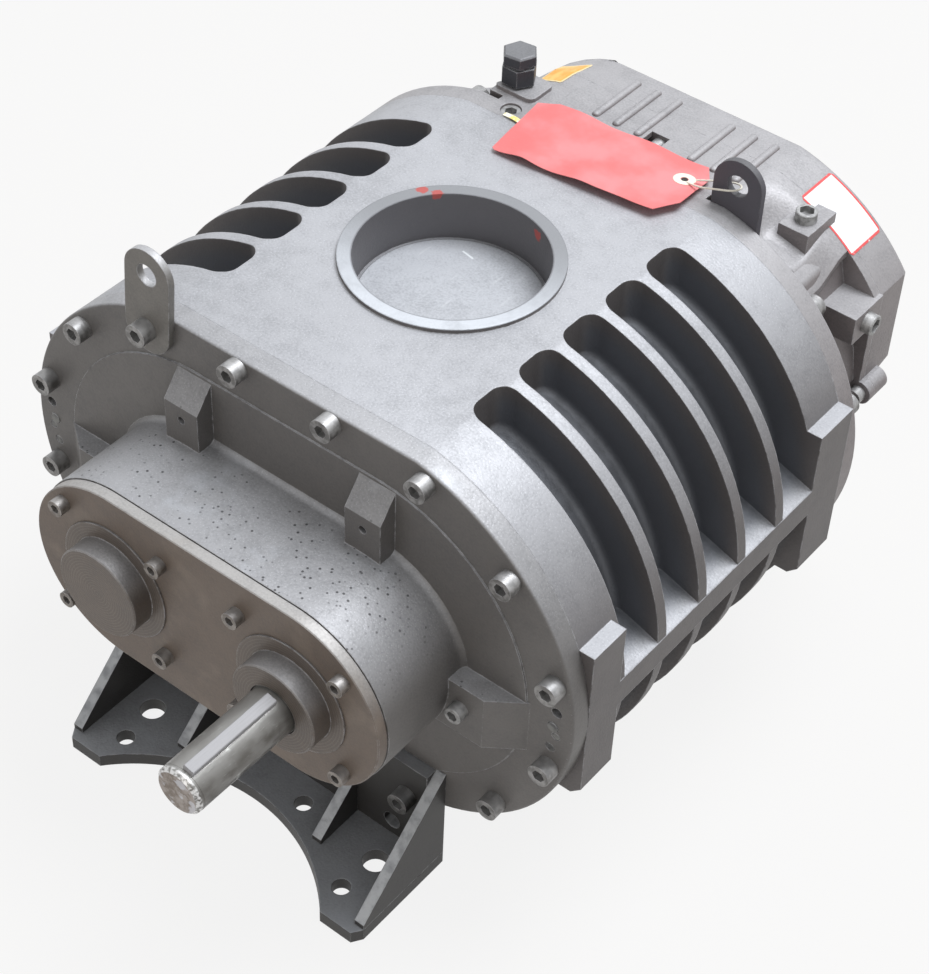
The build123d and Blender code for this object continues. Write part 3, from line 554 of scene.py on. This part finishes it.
# Painted highlight: the upper faces of the shafts are mixed towards a light grey, as if lit from above.
colour = shaft.mix(shaft.facing(2).step(0.35, 0.95) * 0.55, colour, (0.46, 0.46, 0.45))
colour = shaft.mix(scratches.step(0.62, 0.76) * 0.30, colour, (0.55, 0.56, 0.56))
wrap = shaft.add("ShaderNodeMath", {"operation": "SINE"}, {0: from_tip * 150.0 + film * 3.0})
colour = shaft.mix(wrap.step(0.94, 1.0) * film.step(0.5, 0.62) * 0.55, colour, (0.70, 0.73, 0.70))
edge = from_tip.step(0.0052, 0.0036) * (shaft.facing(1) * -1.0).step(0.95, 0.80)
colour = shaft.mix(edge * shaft.grain(0.003, 3.0).step(0.36, 0.54) * 0.85, colour, (0.80, 0.80, 0.80))
face = (shaft.facing(1) * -1.0).step(0.90, 0.99) * from_tip.step(0.002, 0.001)
rust = shaft.grain(0.006, 4.0)
worn = shaft.grain(0.010, 3.0)
browned = shaft.mix(rust.step(0.38, 0.62), (0.20, 0.155, 0.12), (0.42, 0.37, 0.34))
colour = shaft.mix(face * 0.85, colour, browned)
colour = shaft.mix(face * worn.step(0.52, 0.62) * 0.7, colour, (0.72, 0.74, 0.80))
shaft_steel = shaft.done(Base_Color=colour, Metallic=0.55 - face * 0.3, Roughness=film * 0.25 + 0.26 + face * 0.3,
                         Coat_Weight=wrap.step(-0.2, 0.6) * 0.4,
                         Normal=shaft.rough(scratches * 0.5 + film * 0.9, 0.00022, soft))
look(dressed("drive_shaft", "drive_shaft_turned"), shaft_steel)
look(dressed("driven_shaft", "driven_shaft_turned"), shaft_steel)
key = Finish("key steel")
soft = key.rounded(0.0007)[0]
drawn = key.grain(0.0016, 3.0, stretch=(1.0, 0.12, 1.0))
look(dressed("drive_key", "drive_key_bar"),
     key.done(Base_Color=key.mix(drawn, (0.30, 0.30, 0.31), (0.48, 0.48, 0.50)), Metallic=0.2,
              Roughness=drawn * 0.3 + 0.42, Normal=key.rough(drawn, 0.0001, soft)))


# ---- rotors, bearings, chamber seals, timing gears and lock nuts ---------------------------------
# The working parts inside: two figure-of-eight iron rotors on their shafts, roller bearings in
# both heads, labyrinth seals beside the chamber, and the pair of gears that keep the lobes apart.
def bare_metal(name, dark, light, grain_size, roughness, metallic=0.9):
    metal = Finish(name)
    soft = metal.rounded(0.0005)[0]
    cut = metal.grain(grain_size, 3.0)
    return metal.done(Base_Color=metal.mix(cut, dark, light), Metallic=metallic,
                      Roughness=cut * 0.25 + roughness, Normal=metal.rough(cut, 0.00008, soft))


rotor_iron = bare_metal("rotor iron", (0.24, 0.24, 0.235), (0.42, 0.42, 0.41), 0.005, 0.28)
bearing_steel = bare_metal("bearing steel", (0.50, 0.50, 0.50), (0.66, 0.66, 0.66), 0.003, 0.12, 1.0)
seal_iron = bare_metal("seal iron", (0.20, 0.195, 0.19), (0.34, 0.33, 0.32), 0.003, 0.32)
gear_steel = bare_metal("gear steel", (0.28, 0.275, 0.26), (0.46, 0.45, 0.43), 0.004, 0.24)
for node, metal in (("drive_rotor", rotor_iron), ("driven_rotor", rotor_iron), ("bearing_outer_races", bearing_steel),
                    ("drive_bearing_inner_races", bearing_steel), ("drive_bearing_rollers", bearing_steel),
                    ("driven_bearing_inner_races", bearing_steel), ("driven_bearing_rollers", bearing_steel),
                    ("rotor_chamber_seals", seal_iron), ("drive_timing_gear", gear_steel),
                    ("driven_timing_gear", gear_steel), ("drive_gear_lock_nut", gear_steel),
                    ("driven_gear_lock_nut", gear_steel)):
    look(dressed(node, node + "_iron"), metal)


# ---- gear cover and its screws -------------------------------------------------------------------
# Deep cast iron lid over the timing gears, in the gear head's enamel and with the same left
# slope, closed by 3/8 socket screws from behind.
look(sloped(dressed("gear_cover", "gear_cover_casting")), gear_paint.material)
cover_cap_screws = dressed("gear_cover_screws", "gear_cover_cap_screws")
sunk_x, sunk_z, sunk_reach, sunk_depth = -0.138, 0.1655, 0.014, 0.012   # the screw under the left slope
for vertex in cover_cap_screws.data.vertices:
    if math.hypot(vertex.co.x - sunk_x, vertex.co.z - axis_up - sunk_z) < sunk_reach:
        vertex.co.z += left_slope(sunk_x, 0.320) - sunk_depth - sunk_z
look(cover_cap_screws,
     screw_finish("gear screw oxide", (0.28, 0.275, 0.27), (0.50, 0.50, 0.50), 0.6, 0.32))


# ---- plugs and vent ------------------------------------------------------------------------------
# Steel pipe plugs with hexagon sockets for filling and draining oil, and a dark painted breather,
# made of two hexagons with a groove between them, on its own pad.
plug_finish = screw_finish("plug steel", (0.20, 0.20, 0.195), (0.42, 0.42, 0.415), 0.5, 0.36)
for node in ("oil_fill_plug", "gear_head_plugs", "oil_drain_plugs"):
    look(dressed(node, node + "_steel"), plug_finish)
vent_paint = Enamel("vent paint", (0.23, 0.235, 0.25), (0.045, 0.047, 0.055), wear=0.8, sparkle=0.0)
look(dressed("vent_breather", "vent_breather_hexagons"), vent_paint.coat(0.35, 0.34))


# ---- lifting lugs --------------------------------------------------------------------------------
# Flat steel plates with a lifting hole, each under one head screw. The front one is enamelled
# with its head, and the rear one is nearly black with dust on its edge.
front_lug_paint = Enamel("front lug enamel", (0.52, 0.525, 0.54), (0.20, 0.19, 0.175), sparkle=0.3)
look(dressed("lifting_lug_front", "lifting_lug_front_plate"), front_lug_paint.coat())
rear_lug_paint = Enamel("rear lug paint", (0.14, 0.14, 0.15), (0.085, 0.08, 0.095), wear=0.2, sparkle=0.0)
look(dressed("lifting_lug_rear", "lifting_lug_rear_plate"), rear_lug_paint.coat(0.1, 0.5))


# ---- feet ----------------------------------------------------------------------------------------
# Welded plate feet under both heads: a bowed base, an upright screwed to the head and four gussets. The paint is a
# bluish dark grey, worn light along its edges; the sloped faces on the gussets' tops are painted light grey and the
# upward faces get pale patches as painted light, and the side faces are painted near black as painted shade.
foot_paint = Enamel("foot enamel", (0.36, 0.375, 0.40), (0.042, 0.040, 0.038), wear=1.0, sparkle=0.3)
# Painted light: the sloped faces, on the gussets' slanted tops, are laid light grey in ragged patches.
slope = foot_paint.within(foot_paint.facing(2), 0.45, 0.93, 0.05)
foot_paint.lay(slope * foot_paint.grain(0.012, 4.0).step(0.3, 0.6) * 0.85, (0.52, 0.54, 0.56))
# Painted light: pale bluish patches on the upward faces.
foot_paint.lay(foot_paint.grain(0.02, 4.0).step(0.46, 0.66) * foot_paint.lying * 0.30, (0.40, 0.42, 0.46))
foot_coat = foot_paint.coat(0.2, 0.45)
for end in ("front", "rear"):
    for part in ("base", "upright", "gussets"):
        look(dressed(f"{end}_foot_{part}", f"{end}_foot_{part}_plates"), foot_coat)
foot_screw_finish = screw_finish("foot screw oxide", (0.09, 0.088, 0.085), (0.20, 0.195, 0.19), 0.5, 0.4)
for end in ("front", "rear"):
    look(dressed(f"{end}_foot_screws", f"{end}_foot_cap_screws"), foot_screw_finish)


# ---- shipping tag --------------------------------------------------------------------------------
# Coral card tag lying on the roof, its print left off. The card has taken a wave and a twist, so
# its front edge lifts off the casting, and a cream paper patch holds its eyelet at the right end.
card_corners = {"left_front": Vector((-0.063, 0.180, 0.4268)), "right_front": Vector((0.098, 0.1955, 0.4335)),
                "left_back": Vector((-0.071, 0.260, 0.4318)), "right_back": Vector((0.095, 0.276, 0.4262))}
card_length, card_width = 0.1617, 0.0794
eyelet = (0.905, 0.655)


def on_card(along, over):
    """Point of the waved card at these shares of its length and width."""
    front = card_corners["left_front"].lerp(card_corners["right_front"], along)
    rear = card_corners["left_back"].lerp(card_corners["right_back"], along)
    spot = front.lerp(rear, over)
    bumps = (0.0026 * math.exp(-((along - 0.17) / 0.075) ** 2) - 0.0013 * math.exp(-((along - 0.34) / 0.08) ** 2)
             + 0.0010 * math.exp(-((along - 0.50) / 0.09) ** 2) - 0.0014 * math.exp(-((along - 0.86) / 0.10) ** 2))
    back_bumps = -0.0012 * math.cos(along * 15.0) * (1 - 0.4 * along)
    spot.z += bumps * (1 - over) ** 1.5 + back_bumps * over ** 2 + 0.0004 * noise.noise(spot * 60)
    spot.z = max(spot.z, axis_up + flat_top + 0.0004)
    return spot


def card_sheet(name, columns, rows, cuts):
    """A flat unit grid with its corners cut off along (point, outward normal) lines."""
    bpy.ops.object.select_all(action="DESELECT")
    bpy.ops.mesh.primitive_grid_add(x_subdivisions=columns, y_subdivisions=rows, size=1.0)
    sheet = bpy.context.object
    sheet.name = name
    bpy.ops.object.mode_set(mode="EDIT")
    for point, normal in cuts:
        bpy.ops.mesh.select_all(action="SELECT")
        bpy.ops.mesh.bisect(plane_co=point, plane_no=normal, clear_outer=True)
    bpy.ops.object.mode_set(mode="OBJECT")
    return sheet


def corner_cut(side, end, long_share, wide_share):
    """Line that cuts a corner of the unit grid: side and end are -1 or 1."""
    point = Vector((side * 0.5, end * (0.5 - wide_share), 0))
    run = Vector((side * (0.5 - long_share), end * 0.5, 0)) - point
    normal = Vector((run.y, -run.x, 0))
    return point, normal if normal.dot(Vector((side, end, 0))) > 0 else -normal


def thicken(sheet, thickness):
    bpy.ops.object.select_all(action="DESELECT")
    bpy.context.view_layer.objects.active = sheet
    sheet.select_set(True)
    solid = sheet.modifiers.new("thickness", "SOLIDIFY")
    solid.thickness, solid.offset = thickness, 1.0
    bpy.ops.object.modifier_apply(modifier=solid.name)
    bpy.ops.object.shade_smooth_by_angle(angle=math.radians(35))


card = card_sheet("shipping_tag_card", 72, 36, [
    corner_cut(1, -1, 0.075, 0.25), corner_cut(1, 1, 0.06, 0.20),
    corner_cut(-1, 1, 0.10, 0.10), corner_cut(-1, -1, 0.02, 0.03)])
for vertex in card.data.vertices:
    vertex.co = on_card(vertex.co.x + 0.5, vertex.co.y + 0.5)
thicken(card, 0.0005)
coral = Finish("coral card")
fibre = coral.grain(0.0012, 3.0)
cloud = coral.grain(0.035, 3.0)
eyelet_place = on_card(*eyelet)
colour = coral.mix(cloud.step(0.35, 0.68), (0.80, 0.20, 0.20), (0.88, 0.29, 0.30))
colour = coral.mix(fibre.step(0.58, 0.72) * 0.12, colour, (0.95, 0.45, 0.40))
# Painted shade: the card is laid near black within the eyelet, where the hole would show shade.
near = coral.add("ShaderNodeVectorMath", {"operation": "DISTANCE"}, {0: coral.place, 1: eyelet_place}, 1)
colour = coral.mix(near.step(0.0031, 0.0027), colour, (0.02, 0.015, 0.015))
look(card, coral.done(Base_Color=colour, Roughness=fibre * 0.2 + 0.5,
                      Normal=coral.rough(fibre * 0.4 + cloud, 0.0002)))
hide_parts("shipping_tag")
belongs(card, "shipping_tag")

bpy.ops.object.select_all(action="DESELECT")
bpy.ops.mesh.primitive_circle_add(vertices=48, radius=0.0098, fill_type="NOTHING")
patch = bpy.context.object
patch.name = "tag_eyelet_patch"
bpy.ops.object.mode_set(mode="EDIT")
bpy.ops.mesh.select_all(action="SELECT")
for share in (0.82, 0.72, 0.62):
    bpy.ops.mesh.extrude_region_move()
    bpy.ops.transform.resize(value=(share, share, 1), center_override=(0, 0, 0))
bpy.ops.mesh.select_all(action="SELECT")
bpy.ops.mesh.normals_make_consistent(inside=False)
bpy.ops.object.mode_set(mode="OBJECT")
for vertex in patch.data.vertices:
    spot = on_card(eyelet[0] + vertex.co.x * 0.92 / card_length, eyelet[1] + vertex.co.y * 0.85 / card_width)
    vertex.co = spot + Vector((0, 0, 0.00058))
if patch.data.polygons[0].normal.z < 0:
    patch.data.flip_normals()
thicken(patch, 0.0003)
cream = Finish("cream paper patch")
look(patch, cream.done(Base_Color=cream.mix(cream.grain(0.003), (0.93, 0.86, 0.72), (0.98, 0.93, 0.82)),
                       Roughness=0.7, Normal=cream.rough(cream.grain(0.0009), 0.0001)))
belongs(patch, "shipping_tag")


# ---- stickers on the gear end --------------------------------------------------------------------
# A blank white sticker with a red border on the round shoulder and a blank amber one on the roof,
# both printed vinyl, with a cream scrap of backing paper caught under the tag.
def draped_label(name, columns, rows, place_of, thickness=0.00012):
    """A unit grid laid on a surface by place_of(across share, along share), made as thick as vinyl."""
    cuts = [corner_cut(side, end, 0.05, 0.06) for side in (-1, 1) for end in (-1, 1)]
    label = card_sheet(name, columns, rows, cuts)
    shares = label.data.uv_layers.new(name="shares") if not label.data.uv_layers else label.data.uv_layers[0]
    for loop in label.data.loops:
        point = label.data.vertices[loop.vertex_index].co
        shares.data[loop.index].uv = (point.x + 0.5, point.y + 0.5)
    for vertex in label.data.vertices:
        vertex.co = place_of(vertex.co.x + 0.5, vertex.co.y + 0.5)
    thicken(label, thickness)
    return label


def on_shoulder(across, along):
    start, stop = math.radians(68.5), math.radians(49.0)
    angle = start + (stop - start) * across
    reach = outline_radius + 0.0003
    return Vector((round_middle + reach * math.cos(angle), 0.3055 + 0.0455 * along,
                   axis_up + reach * math.sin(angle)))


def border(finish, width_across, width_along):
    """1 within these shares of the label's edges."""
    within = 1.0
    for axis, width in enumerate((width_across, width_along)):
        share = finish.add("ShaderNodeSeparateXYZ", {}, {0: finish.add("ShaderNodeUVMap")}, axis)
        within = absolute(finish, share - 0.5).step(0.505 - width, 0.495 - width) * within
    return 1.0 - within


white_label = draped_label("shoulder_label", 28, 16, on_shoulder)
vinyl = Finish("white vinyl")
dust = vinyl.grain(0.0011, 2.0)
colour = vinyl.mix(dust.step(0.58, 0.66) * 0.18, (0.95, 0.95, 0.95), (0.62, 0.60, 0.62))
colour = vinyl.mix(border(vinyl, 0.035, 0.045) * vinyl.grain(0.006).step(0.25, 0.4), colour, (0.80, 0.10, 0.10))
look(white_label, vinyl.done(Base_Color=colour, Roughness=0.35, Coat_Weight=0.2))
belongs(white_label, "gear_cover")


def on_roof(across, along):
    left = Vector((-0.1000, 0.2930, 0)).lerp(Vector((-0.0985, 0.3240, 0)), along)
    right = Vector((-0.0790, 0.2955, 0)).lerp(Vector((-0.0765, 0.3405, 0)), along)
    spot = left.lerp(right, across)
    return Vector((spot.x, spot.y, axis_up + min(flat_top, left_slope(spot.x, spot.y)) + 0.0003))


amber_label = draped_label("roof_label", 10, 10, on_roof)
amber = Finish("amber vinyl")
print_tone = amber.grain(0.006, 3.0, stretch=(1.0, 0.4, 1.0))
colour = amber.mix(print_tone.step(0.35, 0.65), (0.90, 0.42, 0.07), (0.95, 0.60, 0.17))
colour = amber.mix(border(amber, 0.07, 0.04), colour, (0.96, 0.76, 0.42))
look(amber_label, amber.done(Base_Color=colour, Roughness=0.4, Coat_Weight=0.2))
belongs(amber_label, "gear_cover")


def under_tag(across, along):
    return Vector((-0.087 + 0.022 * across, 0.2262 - 0.002 * across + 0.005 * along,
                   axis_up + flat_top + 0.0006 + 0.0012 * math.sin(across * 3.0)))


scrap = draped_label("paper_scrap", 8, 4, under_tag, 0.0002)
backing = Finish("scrap paper")
yellowed = backing.mix(backing.grain(0.004).step(0.45, 0.6), (0.97, 0.94, 0.80), (0.95, 0.80, 0.25))
look(scrap, backing.done(Base_Color=yellowed, Roughness=0.7))
belongs(scrap, "shipping_tag")


# ---- tag string ----------------------------------------------------------------------------------
# Cream cotton twine, limp, looped once from the tag's eyelet through the rear lifting lug and
# back to its knot under the patch.
string_route = [(81, 245.5, 427.3), (86, 243.5, 430.3), (93, 241, 432.3), (101, 239, 435.3), (110, 238, 439.3),
                (119, 237.5, 442.8), (126, 239, 444.3), (131, 244, 444.3), (131, 251, 443.3), (125, 255.5, 441.3),
                (116, 255.5, 438.8), (107, 254, 436.3), (98, 251.5, 433.8), (90, 248.5, 431.8)]
line = bpy.data.curves.new("tag_twine", "CURVE")
line.dimensions = "3D"
line.bevel_depth, line.bevel_resolution, line.resolution_u = 0.0008, 3, 8
spline = line.splines.new("NURBS")
spline.points.add(len(string_route) - 1)
for point, (x, y, z) in zip(spline.points, string_route):
    point.co = (x / 1000, y / 1000, z / 1000, 1.0)
spline.order_u = 3
spline.use_endpoint_u = True
line.use_fill_caps = True
twine = bpy.data.objects.new("tag_twine", line)
scene.collection.objects.link(twine)
cotton = Finish("cotton string")
look(twine, cotton.done(Base_Color=cotton.mix(cotton.grain(0.001), (0.70, 0.66, 0.55), (0.90, 0.87, 0.78)), Roughness=0.85))
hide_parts("tag_string")
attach(twine, "housing")
